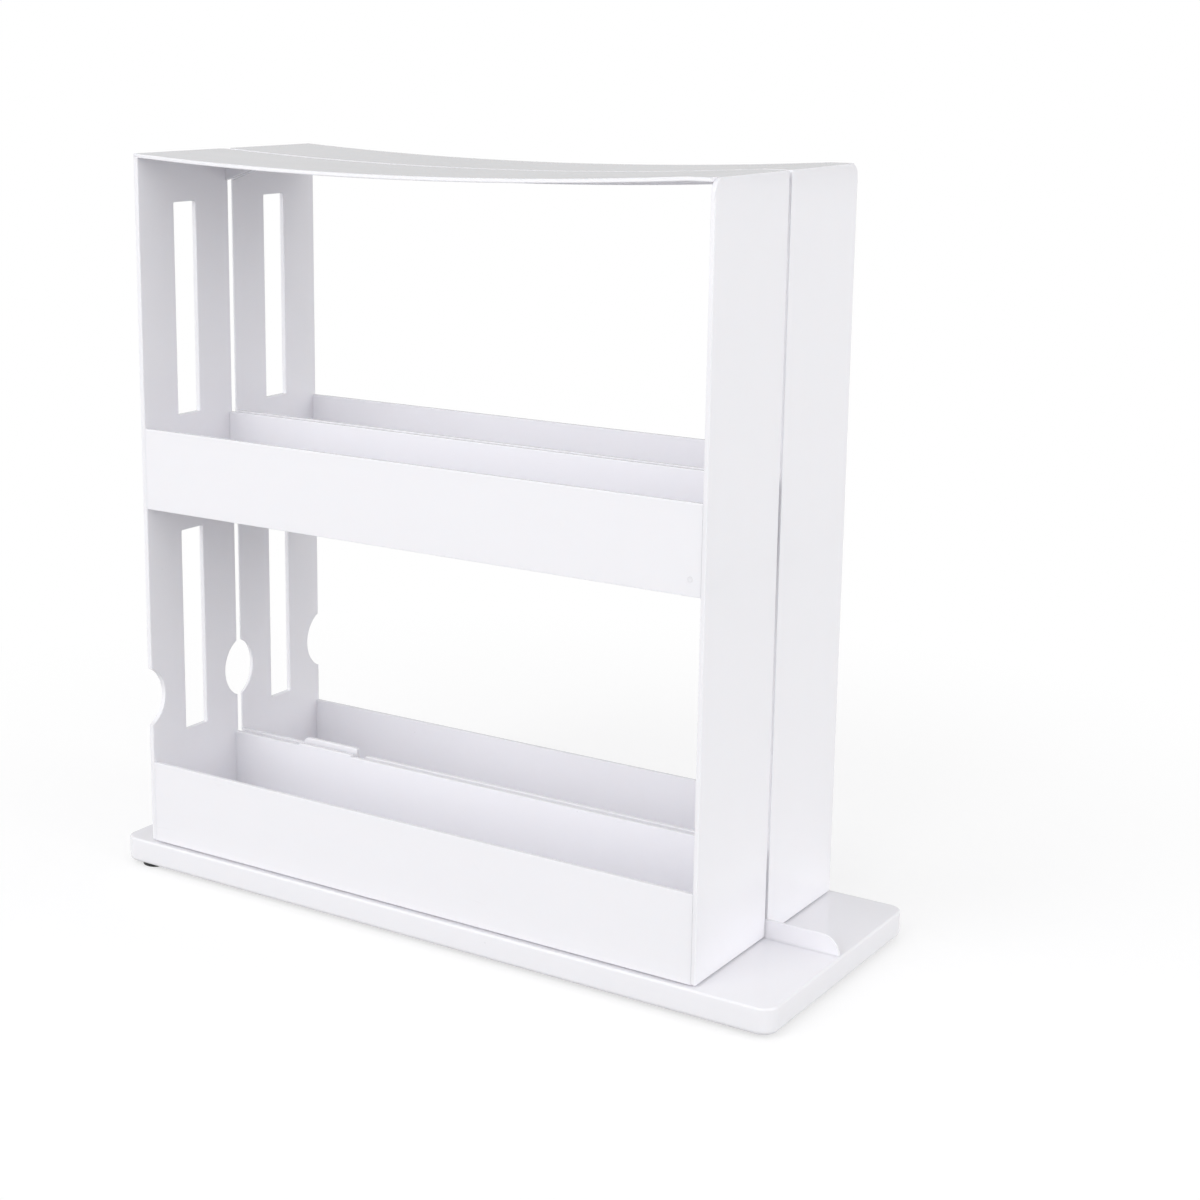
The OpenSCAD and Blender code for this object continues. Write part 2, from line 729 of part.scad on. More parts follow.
base_deck();
base_cover();
cover_screws();
rubber_feet();
track_bumpers();

on_side("left") slide_shoe();  // left_slide_shoe
on_side("left") pivot_pin();  // left_pivot_pin
on_side("left") pivot_washer();  // left_pivot_washer
on_side("left") pivot_screw();  // left_pivot_screw
on_side("left") pivot_bush();  // left_pivot_bush
on_side("left") lower_tray(left_lug_h, notched = false);  // left_lower_tray
on_side("left") upper_tray();  // left_upper_tray
on_side("left") rear_panel();  // left_rear_panel
on_side("left") front_panel();  // left_front_panel
on_side("left") top_panel();  // left_top_panel
on_side("left") tray_screws();  // left_tray_screws
on_side("left") glide_pads();  // left_glide_pads

on_side("right") slide_shoe();  // right_slide_shoe
on_side("right") pivot_pin();  // right_pivot_pin
on_side("right") pivot_washer();  // right_pivot_washer
on_side("right") pivot_screw();  // right_pivot_screw
on_side("right") pivot_bush();  // right_pivot_bush
on_side("right") lower_tray(right_lug_h, notched = true);  // right_lower_tray
on_side("right") upper_tray();  // right_upper_tray
on_side("right") rear_panel();  // right_rear_panel
on_side("right") front_panel();  // right_front_panel
on_side("right") top_panel();  // right_top_panel
on_side("right") tray_screws();  // right_tray_screws
on_side("right") glide_pads();  // right_glide_pads
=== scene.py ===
"""Looks of the two-tier pull-out rack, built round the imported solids.

The moulded pieces that show are drawn again as smooth surfaces, with the soft edges and fillets that an
injection moulding has. Screws, pins, shoes and pads keep their solids and get their finish. Sizes are in
millimetres until a piece becomes a mesh. +X is the front, +Y the right module, +Z up.
"""

import json
import math

import bmesh
import bpy
import numpy as np
from mathutils import Matrix, Vector
from mathutils.geometry import delaunay_2d_cdt


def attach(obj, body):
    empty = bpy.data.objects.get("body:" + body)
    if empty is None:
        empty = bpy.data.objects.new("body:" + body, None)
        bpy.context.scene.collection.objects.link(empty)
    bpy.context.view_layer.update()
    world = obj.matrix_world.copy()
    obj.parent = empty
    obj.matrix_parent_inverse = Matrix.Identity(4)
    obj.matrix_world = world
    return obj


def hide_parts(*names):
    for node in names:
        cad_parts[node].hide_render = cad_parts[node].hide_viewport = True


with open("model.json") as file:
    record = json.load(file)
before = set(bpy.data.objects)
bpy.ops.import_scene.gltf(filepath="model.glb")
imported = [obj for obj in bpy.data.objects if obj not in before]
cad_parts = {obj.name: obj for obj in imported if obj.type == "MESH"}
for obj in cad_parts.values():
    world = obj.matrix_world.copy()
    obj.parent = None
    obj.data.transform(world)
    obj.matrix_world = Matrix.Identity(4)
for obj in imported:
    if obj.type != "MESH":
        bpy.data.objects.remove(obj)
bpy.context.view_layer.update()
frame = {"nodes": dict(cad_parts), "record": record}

MM = 0.001

# Places along the rack: the base's rear end, a module's rear face, the inner faces of its rear and front
# panels, and its front face
X_BACK, X_REAR, X_TRAY, X_IN, X_FRONT = -138.75, -125.75, -123.75, 108.65, 110.25
# Places across it, for the right module: its inner side, its outer side and its middle
Y_IN, Y_OUT, Y_MID = 1.0, 50.5, 25.75
# Heights of the base: its foot, the deck's underside and the deck's top
Z_BASE, Z_UNDER, Z_DECK = 1.5, 8.5, 10.9
# Heights of a module: its foot, the lower lips, the upper tray's underside, the upper lips and its top
Z_MOD, Z_LOW_LIP, Z_UPPER, Z_UP_LIP, Z_TOP = 11.5, 42.7, 141.2, 171.3, 271.5

# The pivot at rest, and how far a module pulls out
PIVOT_X = X_REAR + 6.4
TRAVEL = 200.0

# Countersunk screws
SCREW_R, HEAD_R, HEAD_H = 1.47, 2.82, 1.3

# Base
BASE_W, BASE_R = 105.0, 5.5
DECK_EDGE_R, SKIRT_EDGE_R = 0.8, 1.6
SKIRT, COVER, COVER_GAP = 2.2, 1.8, 0.2
PIN_SLOT_R = 2.9
TRACK_REAR, TRACK_FRONT, TRACK_HALF, RIB = 11.3, 28.3, 12.3, 1.6
FIN_H, FIN_HALF, FIN_FRONT, FIN_REAR = 6.8, 0.5, 1.0, 11.0
COVER_SCREW_X, COVER_SCREW_Y, COVER_BOSS_R = 22.5, 45.1, 3.2
COVER_SCREWS = [
    (x, y)
    for x in (X_BACK + COVER_SCREW_X, 0.0, -X_BACK - COVER_SCREW_X)
    for y in (-COVER_SCREW_Y, COVER_SCREW_Y)
] + [(X_BACK / 2, 0.0), (-X_BACK / 2, 0.0)]
FEET = [(X_BACK + 10.5, 46.0), (0.0, 36.5), (-X_BACK - 16, 36.5)]  # on the right, and the same on the left
FOOT_R = 5.0

# Trays
FLOOR, LIP = 1.8, 1.8
LUG_X, LUG_LEN, NOTCH_W = 33.5, 26.0, 4.0
PAD_RECESS_R, PAD_RECESS = 6.2, 0.8
PAD_PLACES = [(x, y) for x in (X_REAR + 44, X_FRONT - 24) for y in (Y_IN + 12, Y_OUT - 12)]
BUSH_HOLE_R, PIVOT_BOSS_R, PIVOT_BOSS_H = 3.77, 5.5, 6.0
MARK_IN, MARK_R = 5.5, 0.8

# What joins the panels to the trays: lugs on their feet, with a screw each
FOOT_LUG_D, FOOT_LUG_HALF, FOOT_LUG_T = 12.0, 6.0, 2.2
LUG_BOSS_R, LUG_BOSS_H = 3.5, 6.0
TRAY_SCREW_IN = 8.0  # a screw's axis from the panel's inner face
TRAY_SCREW_Y = (10.8, 40.7)

# Rear panel: its finger notches and slots
REAR_EDGE_R = 3.0
SQUEEZE = 11.0  # where the rounding of that edge has faded to nothing, across the module
NOTCH_Z, NOTCH_R, NOTCH_DEPTH = Z_LOW_LIP + 25.8, 12.0, 7.2
PANEL_SLOT_HALF = 6.0
PANEL_SLOTS = [(Z_LOW_LIP + 8.4, Z_UPPER - 11.6), (Z_UP_LIP + 2.7, Z_TOP - 18.5)]

# Top panel: an arc that dips by SAG at ARC_X and ends ARC_HALF before and behind it
TOP = 1.4
FLANGE, FLANGE_H, GUSSET_H, GUSSET_LEN = 1.6, 4.4, 12.0, 19.0
SAG, ARC_X, ARC_HALF = 3.7, -13.25, 113.5
ARC_R = (ARC_HALF**2 + SAG**2) / (2 * SAG)

# The ledge under each end of the top panel, and the tongue that snaps into its window
LEDGE_D, LEDGE_Y, LEDGE_T = 6.0, (2.8, 27.8), 1.5
TONGUE_IN, TONGUE_Y, TONGUE_HALF_W, TONGUE_HALF_T = 3.0, 9.8, 5.0, 0.75
BARB_H, BARB_D = 1.0, 0.7

# Meshes
LATTICE_STEP, LATTICE_CLEAR = 9.0, 3.0  # the points inside a flat sheet, and their least distance to its edge
MERGE_WITHIN = 2e-6  # metres
SHARP_FROM = math.radians(40)

# Light
WHITE = (1, 1, 1, 1)
GLOSS_SEES = 0.6  # the backdrop's level in a gloss, as the top panel mirrors it at a flat angle
LAMP_SIZE, LAMP_AWAY = 1.2, 2  # metres
LAMPS = [("left_low", -25, 12, 6.8), ("left_high", -5, 38, 6.8), ("front", 93, 12, 10.4)]
STUDIO_LEVELS = [(0.0, 0.3), (0.25, 0.97), (0.6, 0.91), (1.0, 0.1)]  # from the horizon up

# The photograph's camera, as fitted to the edges: in metres, degrees, and pixels of a square frame
CAMERA_PLACE = (0.42577, -0.64182, 0.31162)
CAMERA_TURN, CAMERA_TILT, CAMERA_ROLL = 34.3037, -12.1175, 0.2021
FRAME, FOCAL, FRAME_CENTRE = 1200, 2201.47, (472.69, 512.66)
SENSOR = 36.0


# Flat outlines and curves


def arc(centre, r, start, end, steps):
    """Points of a circle's arc: centre + r (cos a, sin a), with a running from start to end in degrees."""
    a = np.radians(np.linspace(start, end, steps + 1))
    return np.stack([centre[0] + r * np.cos(a), centre[1] + r * np.sin(a)], axis=1)


def rounded(corners, radii, steps=6):
    """A counter-clockwise outline with its corners rounded. Each corner becomes the arc that touches both its
    sides, r tan(turn / 2) away from the corner."""
    corners = np.asarray(corners, float)
    out = []
    for i, (c, r) in enumerate(zip(corners, radii)):
        if r <= 0:
            out.append(c[None])
            continue
        d1 = c - corners[i - 1]
        d2 = corners[(i + 1) % len(corners)] - c
        d1, d2 = d1 / np.hypot(*d1), d2 / np.hypot(*d2)
        turn = math.atan2(d1[0] * d2[1] - d1[1] * d2[0], d1 @ d2)
        side = math.copysign(1.0, turn)
        start = c - d1 * r * math.tan(abs(turn) / 2)
        centre = start + side * r * np.array([-d1[1], d1[0]])
        a0 = math.degrees(math.atan2(*(start - centre)[::-1]))
        out.append(arc(centre, r, a0, a0 + math.degrees(turn), steps))
    return np.concatenate(out)


def rect(x0, y0, x1, y1, r=0.0, steps=6):
    """A rectangle with round corners, counter-clockwise."""
    return rounded([(x0, y0), (x1, y0), (x1, y1), (x0, y1)], [r] * 4, steps)


def circle(x, y, r, steps=32):
    """A full circle of points, counter-clockwise."""
    return arc((x, y), r, 0, 360, steps)[:-1]


def area(loop):
    """Signed area of an outline: half the sum of cross products of neighbouring points."""
    x, y = loop.T
    return 0.5 * np.sum(x * np.roll(y, -1) - y * np.roll(x, -1))


def inward(loop):
    """For each point of a closed outline, the step towards its left side that moves both its neighbouring
    edges by one unit: (n1 + n2) / (1 + n1 . n2), with n1 and n2 the edges' left normals. The divisor stays
    at 0.2 or more, so that a very sharp corner doesn't shoot out."""
    edge = np.roll(loop, -1, axis=0) - loop
    edge = edge / np.maximum(np.hypot(*edge.T)[:, None], 1e-9)
    n2 = np.stack([-edge[:, 1], edge[:, 0]], axis=1)
    n1 = np.roll(n2, 1, axis=0)
    return (n1 + n2) / np.maximum(1 + np.sum(n1 * n2, axis=1), 0.2)[:, None]


def within(points, a, b):
    """Which points lie inside outlines with edges from a to b: those with an odd count of edges to their
    right."""
    x, y = points[:, :1], points[:, 1:]
    crossed = (a[:, 1] > y) != (b[:, 1] > y)
    rise = np.where(b[:, 1] == a[:, 1], 1.0, b[:, 1] - a[:, 1])
    at = a[:, 0] + (y - a[:, 1]) * (b[:, 0] - a[:, 0]) / rise
    return (crossed & (x < at)).sum(axis=1) % 2 == 1


def lattice_inside(a, b, step, clear):
    """Points of a square lattice inside the outlines, at least a clearance away from their edges. The
    lattice starts 0.37 of a step in, so that its rows don't fall on those of the outlines."""
    low, high = a.min(axis=0), a.max(axis=0)
    x, y = (np.arange(lo + 0.37 * step, hi, step) for lo, hi in zip(low, high))
    points = np.stack(np.meshgrid(x, y), axis=-1).reshape(-1, 2)
    if len(points) == 0:
        return points
    points = points[within(points, a, b)]
    along = b - a
    t = np.sum((points[:, None] - a) * along, axis=2) / np.maximum(np.sum(along**2, axis=1), 1e-12)
    nearest = a + np.clip(t, 0, 1)[..., None] * along
    return points[np.hypot(*np.moveaxis(points[:, None] - nearest, 2, 0)).min(axis=1) > clear]


def soft_edge(low, high, r_low, r_high, steps=5):
    """Rows of (inset, height) up the side of a plate: a quarter round of r_low, a wall with five rows, a
    quarter round of r_high. The quarter rounds are r (1 - cos a) inset at a height of r (1 - sin a) from
    their face."""
    a = np.radians(np.linspace(0, 90, steps + 1))
    below = np.stack([r_low * (1 - np.sin(a)), low + r_low * (1 - np.cos(a))], axis=1)
    above = np.stack([r_high * (1 - np.cos(a)), high - r_high * (1 - np.sin(a))], axis=1)
    wall = np.linspace(below[-1, 1], above[0, 1], 7)[1:-1]
    return np.concatenate([below, np.stack([0 * wall, wall], axis=1), above])


def outer_round(r, top, soft):
    """Rows of (radius, height) over the outer edge of a boss: a quarter round of soft below its top."""
    a = np.radians(np.linspace(0, 90, 5))
    return np.stack([r - soft + soft * np.cos(a), top - soft + soft * np.sin(a)], axis=1)


# Ways to stand a flat drawing up in space: (a, b) is in the drawing, h is across it


def flat(a, b, h):
    """The drawing lies flat: a is x, b is y, h is z."""
    return np.stack(np.broadcast_arrays(a, b, h), axis=-1)


def upright(a, b, h):
    """The drawing stands across the rack: a is y, b is z, h is x."""
    return np.stack(np.broadcast_arrays(h, a, b), axis=-1)


def lengthwise(a, b, h):
    """The drawing stands along the rack: a is x, b is z, h is y."""
    return np.stack(np.broadcast_arrays(a, h, b), axis=-1)


class Shell:
    """Gathers the sheets of one piece, in millimetres, and turns them into one mesh."""

    def __init__(self):
        self.points, self.faces, self.count = [], [], 0

    def grid(self, p, close=False):
        """A sheet of quads over points p[i, j]. With close, the last column joins the first."""
        rows, cols = p.shape[:2]
        k = np.arange(rows * cols).reshape(rows, cols) + self.count
        if close:
            k = np.concatenate([k, k[:, :1]], axis=1)
        quads = np.stack([k[:-1, :-1], k[1:, :-1], k[1:, 1:], k[:-1, 1:]], axis=-1)
        self.points.append(p.reshape(-1, 3))
        self.faces += quads.reshape(-1, 4).tolist()
        self.count += rows * cols

    def cap(self, loops, place, h):
        """A flat sheet that fills the outlines by the even-odd rule: a Delaunay triangulation of all their
        points, less the triangles whose middle lies outside or in a hole."""
        pts = np.concatenate(loops)
        edges, at = [], 0
        for loop in loops:
            n = len(loop)
            edges += [(at + i, at + (i + 1) % n) for i in range(n)]
            at += n
        a = pts[[e[0] for e in edges]]
        b = pts[[e[1] for e in edges]]
        lattice = lattice_inside(a, b, LATTICE_STEP, LATTICE_CLEAR)
        corners = [Vector(p) for p in np.concatenate([pts, lattice]).tolist()]
        found = delaunay_2d_cdt(corners, edges, [], 0, 1e-6)
        v = np.array([tuple(p) for p in found[0]])
        t = np.array(found[2])
        self.points.append(place(v[:, 0], v[:, 1], h))
        self.faces += (t[within(v[t].mean(axis=1), a, b)] + self.count).tolist()
        self.count += len(v)

    def plate(self, place, outline, profile, holes=(), hole_profile=None):
        """A flat plate. The profile's rows of (inset, height) go round the outline, and hole_profile's round
        each hole; flat sheets close it at their first and last rows."""
        ends = [[], []]
        for loop, rows in [(outline, profile)] + [(hole, hole_profile) for hole in holes]:
            wanted = 1 if loop is outline else -1
            if area(loop) * wanted < 0:
                loop = loop[::-1]
            p = loop[None] + inward(loop)[None] * rows[:, 0][:, None, None]
            self.grid(place(p[..., 0], p[..., 1], rows[:, 1][:, None]), close=True)
            ends[0].append(p[0])
            ends[1].append(p[-1])
        self.cap(ends[0], place, profile[0, 1])
        self.cap(ends[1], place, profile[-1, 1])

    def turned(self, x, y, profile, steps=32):
        """A shape turned about the upright line through (x, y). The profile's rows are (radius, height)."""
        a = np.radians(np.arange(steps) * 360 / steps)
        r, z = profile[:, 0][:, None], profile[:, 1][:, None]
        self.grid(flat(x + r * np.cos(a), y + r * np.sin(a), z + 0 * a), close=True)

    def sweep(self, section, xs, inset=0.0, shift=0.0, gap=False):
        """A section, drawn in (y, z), carried along x: the point is section + inset * inward, lifted by
        shift. inset has one value for each x and shift one for each x and point. With gap, the section's
        closing edge is left open, for a sheet of its own. Flat sheets close both ends."""
        inset = np.broadcast_to(inset, len(xs))[:, None, None]
        p = section[None] + inward(section)[None] * inset
        p = np.stack([p[..., 0], p[..., 1] + shift], axis=-1)
        self.grid(upright(p[..., 0], p[..., 1], np.asarray(xs)[:, None]), close=not gap)
        self.cap([p[0]], upright, xs[0])
        self.cap([p[-1]], upright, xs[-1])

    def piece(self, name, material, side=1):
        """The finished object. side -1 mirrors it to the left module. Doubles are merged, normals are turned
        outwards, and weighted normals keep the flat faces flat."""
        co = np.concatenate(self.points) * MM
        co[:, 1] *= side
        mesh = bpy.data.meshes.new(name)
        mesh.from_pydata(co.tolist(), [], self.faces)
        bm = bmesh.new()
        bm.from_mesh(mesh)
        bmesh.ops.remove_doubles(bm, verts=bm.verts, dist=MERGE_WITHIN)
        bmesh.ops.recalc_face_normals(bm, faces=bm.faces)
        bm.to_mesh(mesh)
        bm.free()
        mesh.shade_smooth()
        mesh.set_sharp_from_angle(angle=SHARP_FROM)
        obj = bpy.data.objects.new(name, mesh)
        bpy.context.scene.collection.objects.link(obj)
        mesh.materials.append(material)
        weigh = obj.modifiers.new("weighted normals", "WEIGHTED_NORMAL")
        weigh.keep_sharp = True
        weigh.weight = 80
        return obj


def clear_rear_edge(shell):
    """Rounds the upright edge that swings past the other module. The side moves in by
    R - sqrt(R^2 - (R - d)^2), d being the distance from the rear face, and the points behind it give way,
    down to nothing at SQUEEZE."""
    for p in shell.points:
        d = np.clip(p[:, 0] - X_REAR, 0, REAR_EDGE_R)
        step = REAR_EDGE_R - np.sqrt(REAR_EDGE_R**2 - (REAR_EDGE_R - d) ** 2)
        p[:, 1] += step * np.clip((SQUEEZE - p[:, 1]) / (SQUEEZE - Y_IN), 0, 1)


def dip(x):
    """How far the top surface lies below the front edge: a circle's arc, then level."""
    x = np.asarray(x, float)
    drop = SAG - ARC_R + np.sqrt(ARC_R**2 - (x - ARC_X) ** 2)
    return np.where(x < ARC_X + ARC_HALF, np.maximum(drop, 0), 0)


LEDGE_REAR = Z_TOP - TOP - float(dip(X_TRAY + LEDGE_D)) - 0.1
LEDGE_FRONT = Z_TOP - TOP


# Base


def make_deck():
    """The slab with its skirt: one profile runs from the hollow under the deck, over a small chamfer, round
    the skirt's foot and up the side to the soft top edge. A slot on each side lets the pivot pin through."""
    shell = Shell()
    outline = rect(X_BACK, -BASE_W / 2, -X_BACK, BASE_W / 2, BASE_R, 12)
    side = soft_edge(Z_BASE, Z_DECK, SKIRT_EDGE_R, DECK_EDGE_R, 8)
    chamfer = 0.2
    inner = np.array([(SKIRT, Z_UNDER), (SKIRT, Z_BASE + chamfer), (SKIRT - chamfer, Z_BASE)])
    slots = []
    for y in (-Y_MID, Y_MID):
        front = arc((PIVOT_X + TRAVEL, y), PIN_SLOT_R, -90, 90, 12)
        slots.append(np.concatenate([front, arc((PIVOT_X, y), PIN_SLOT_R, 90, 270, 12)]))
    edge = soft_edge(Z_UNDER, Z_DECK, 0.1, 0.3, 4)
    shell.plate(flat, outline, np.concatenate([inner, side]), slots, edge)
    add_tracks(shell)
    add_cover_bosses(shell)
    add_fin(shell)
    return shell


def add_tracks(shell):
    """The two tracks under the deck, each between two ribs along it and two across its ends. The ribs stand
    a little way into the deck, and those across a little way into those along."""
    x0, x1 = PIVOT_X - TRACK_REAR, PIVOT_X + TRAVEL + TRACK_FRONT
    wall = soft_edge(Z_BASE + COVER, Z_UNDER + 0.1, 0.15, 0.0, 2)
    reach, back = 0.3, 0.05
    for y in (-Y_MID, Y_MID):
        for e in (-1, 1):
            rib_y = y + e * (TRACK_HALF + RIB / 2)
            shell.plate(flat, rect(x0 - RIB, rib_y - RIB / 2, x1 + RIB, rib_y + RIB / 2), wall)
        y0, y1 = y - TRACK_HALF - reach, y + TRACK_HALF + reach
        for x in (x0 - RIB, x1):
            shell.plate(flat, rect(x + back, y0, x + RIB - back, y1), wall)


def add_cover_bosses(shell):
    """The bosses under the deck that the bottom cover's screws go into. They end just above the cover, with
    a chamfer round their foot."""
    foot, head, r = Z_BASE + COVER + 0.01, Z_UNDER + 0.1, COVER_BOSS_R
    profile = np.array([
        (0, foot), (SCREW_R + 0.02, foot), (r - 0.2, foot), (r, foot + 0.19), (r, head), (0, head),
    ])
    for x, y in COVER_SCREWS:
        shell.turned(x, y, profile)


def add_fin(shell):
    """The fin between the modules, with a round crest and a fillet at its root. Towards the tip its height
    is h cos a at a distance of h (1 - sin a) from the tip, and its rear end is rounded a little."""
    h, root, crest, sunk, soft, even = FIN_H, 0.7, 0.42, 0.3, 0.6, 40
    left = np.concatenate([
        [(-FIN_HALF - root, -sunk), (-FIN_HALF - root, 0.0)],
        arc((-FIN_HALF - root, root), root, -90, 0, 6),
        arc((-FIN_HALF + crest, h - crest), crest, 180, 90, 6),
    ])
    section = np.concatenate([left, left[::-1] * [-1, 1]])
    tip, back = -X_BACK - FIN_FRONT, X_BACK + FIN_REAR
    a = np.radians(np.linspace(0, 90, 19))
    front = tip - h + h * np.sin(a)
    tall = h * np.maximum(np.cos(a), 0.01)
    b = np.radians(np.linspace(0, 90, 6))
    rear = back + soft * (1 - np.cos(b))
    low = h - soft * (1 - np.sin(b))
    xs = np.concatenate([rear, np.linspace(back + 4, tip - h - 4, even), front])
    hs = np.concatenate([low, np.full(even, h), tall])
    scale = np.where(section[:, 1] > 0, section[:, 1], 0)[None] * (hs / h - 1)[:, None]
    shell.sweep(section + [0, Z_DECK], xs, shift=scale)


def make_cover():
    """The bottom cover, with a countersunk hole for each of its screws."""
    shell = Shell()
    e = SKIRT + COVER_GAP
    outline = rect(X_BACK + e, -BASE_W / 2 + e, -X_BACK - e, BASE_W / 2 - e, BASE_R - e, 10)
    holes = [circle(x, y, SCREW_R, 24) for x, y in COVER_SCREWS]
    low, high = Z_BASE, Z_BASE + COVER
    countersink = np.array([(HEAD_R - SCREW_R, low), (0, low + HEAD_H), (0, high)])
    shell.plate(flat, outline, soft_edge(low, high, 0.3, 0.2), holes, countersink)
    return shell


def make_feet():
    """Stick-on rubber feet: turned pads with a soft lower edge and a shallow dish in the sole."""
    shell = Shell()
    soft, top = 0.4, 1.48
    a = np.radians(np.linspace(0, 90, 6))
    edge = np.stack([FOOT_R - soft + soft * np.sin(a), soft * (1 - np.cos(a))], axis=1)
    sole = np.array([(0, 0.12), (2.4, 0.1), (3.2, 0.0)])
    profile = np.concatenate([sole, edge, [(FOOT_R, top), (0, top)]])
    for x, y in FEET:
        for s in (-1, 1):
            shell.turned(x, s * y, profile, 40)
    return shell


# Shelf modules, drawn for the right side


def tray_section(z, lip_top):
    """The channel of a tray: a floor between two lips, with fillets in the corners and soft edges. It starts
    and ends on the underside, where a sheet of its own goes."""
    corners = [
        (Y_OUT, z), (Y_OUT, lip_top), (Y_OUT - LIP, lip_top), (Y_OUT - LIP, z + FLOOR),
        (Y_IN + LIP, z + FLOOR), (Y_IN + LIP, lip_top), (Y_IN, lip_top), (Y_IN, z),
    ]
    foot, lip, fillet = 0.15, 0.3, 1.2
    return rounded(corners, [foot, lip, lip, fillet, fillet, lip, lip, foot], 5)


def make_tray(z, lip_top, holes, lip_change=None):
    """A tray: its section carried from the rear panel to the front panel, and an underside with recesses,
    each given by its place and its rows of (radius, height). lip_change gives the inner lip's height above
    lip_top along x."""
    shell = Shell()
    section = tray_section(z, lip_top)
    xs = np.concatenate([np.linspace(X_TRAY, X_TRAY + 1, 5), np.linspace(X_TRAY + 5, X_IN, 58)])
    shift = 0.0
    if lip_change is not None:
        steps, height = lip_change
        xs = np.unique(np.round(np.concatenate([xs[(xs < steps[0]) | (xs > steps[-1])], steps]), 4))
        moved = (section[:, 0] < Y_IN + LIP + 0.01) & (section[:, 1] > lip_top - 0.4)
        shift = np.interp(xs, steps, height, left=0, right=0)[:, None] * moved[None]
    shell.sweep(section, xs, shift=shift, gap=True)
    y0, y1 = section[-1, 0], section[0, 0]
    there, back = np.stack([xs, 0 * xs + y0], axis=1), np.stack([xs[::-1], 0 * xs + y1], axis=1)
    loops = [np.concatenate([there, back])]
    for x, y, rows in holes:
        r, up = np.array(rows).T
        hole = circle(0, 0, 1, 32)[::-1]
        p = [x, y] + hole[None] * r[:, None, None]
        shell.grid(flat(p[..., 0], p[..., 1], z + up[:, None]), close=True)
        shell.cap([p[-1]], flat, z + up[-1])
        loops.append(p[0])
    shell.cap(loops, flat, z)
    return shell


def tray_screw_holes():
    """Two countersunk holes at each end of a tray."""
    rows = [(HEAD_R, 0), (SCREW_R, HEAD_H), (SCREW_R, FLOOR - 0.05)]
    return [(x, y, rows) for x in (X_TRAY + TRAY_SCREW_IN, X_IN - TRAY_SCREW_IN) for y in TRAY_SCREW_Y]


def lug_profile(tall, depth):
    """The inner lip of the lower tray: a raised lug whose ends are quarter rounds, then a notch, or none
    where depth is 0."""
    x0, x1 = X_REAR + LUG_X, X_REAR + LUG_X + LUG_LEN
    end = x1 + NOTCH_W
    soft, steep, even = min(0.5, tall / 2), 0.05, 8
    a = np.radians(np.linspace(0, 90, 7))
    steps = np.concatenate([
        [x0 - steep], x0 + tall * (1 - np.cos(a)), np.linspace(x0 + 4, x1 - 2, even),
        x1 - soft + soft * np.sin(a), [x1 + steep, end, end + steep, end + 0.3],
    ])
    height = np.concatenate([
        [0], tall * np.sin(a), np.full(even, tall),
        tall - soft * (1 - np.cos(a)), [-depth, -depth, -0.05 * depth, 0],
    ])
    return steps, height


def make_lower_tray(lug, notch):
    """The lower tray, with the raised lug on its inner lip, the boss round the pivot bush and the recesses
    of the glide pads."""
    pad = [(PAD_RECESS_R + 0.15, 0), (PAD_RECESS_R, 0.15), (PAD_RECESS_R, PAD_RECESS)]
    bush = [(BUSH_HOLE_R + 0.18, 0), (BUSH_HOLE_R, 0.2), (BUSH_HOLE_R, FLOOR - 0.05)]
    holes = [(x, y, pad) for x, y in PAD_PLACES] + tray_screw_holes() + [(PIVOT_X, Y_MID, bush)]
    shell = make_tray(Z_MOD, Z_LOW_LIP, holes, lug_profile(lug, notch))
    floor, top, fillet = Z_MOD + FLOOR, Z_MOD + PIVOT_BOSS_H, 0.6
    root = arc((PIVOT_BOSS_R + fillet, floor + fillet), fillet, 270, 180, 4)
    rim = outer_round(PIVOT_BOSS_R, top, 0.4)
    boss = np.concatenate([[(BUSH_HOLE_R, floor - 0.04)], root, rim, [(BUSH_HOLE_R, top)]])
    shell.turned(PIVOT_X, Y_MID, np.concatenate([boss, boss[:1]]), 40)
    clear_rear_edge(shell)
    return shell


def make_upper_tray():
    """The upper tray. A small round moulding mark stands on its outer lip near the front: half a bead,
    bent into a ring. The ring's radius is R + w cos b, and it stands h sin b proud."""
    shell = make_tray(Z_UPPER, Z_UP_LIP, tray_screw_holes())
    wide, proud = 0.13, 0.06
    a = np.radians(np.arange(24) * 15)
    b = np.radians(np.linspace(0, 360, 13))[:-1, None]
    r = MARK_R + wide * np.cos(b)
    x, z = X_FRONT - MARK_IN, Z_UPPER + MARK_IN
    bead = lengthwise(x + r * np.cos(a), z + r * np.sin(a), Y_OUT + proud * np.sin(b))
    shell.grid(np.concatenate([bead, bead[:1]]), close=True)
    clear_rear_edge(shell)
    return shell


def add_foot_lugs(shell, x, way, z):
    """The two lugs that a panel stands on a tray's floor with, and their screw bosses."""
    floor = z + FLOOR
    top, fillet = floor + LUG_BOSS_H, 0.5
    root = arc((LUG_BOSS_R + fillet, floor + FOOT_LUG_T + fillet), fillet, 270, 180, 4)
    rim = outer_round(LUG_BOSS_R, top, 0.4)
    boss = np.concatenate([[(0, floor), (LUG_BOSS_R + 0.4, floor + 0.1)], root, rim, [(0, top)]])
    for y in TRAY_SCREW_Y:
        a, b = sorted([x - way * 0.3, x + way * FOOT_LUG_D])
        outline = rect(a, y - FOOT_LUG_HALF, b, y + FOOT_LUG_HALF, 1.0, 4)
        shell.plate(flat, outline, soft_edge(floor - 0.05, floor + FOOT_LUG_T, 0, 0.4, 4))
        shell.turned(x + way * TRAY_SCREW_IN, y, boss, 28)


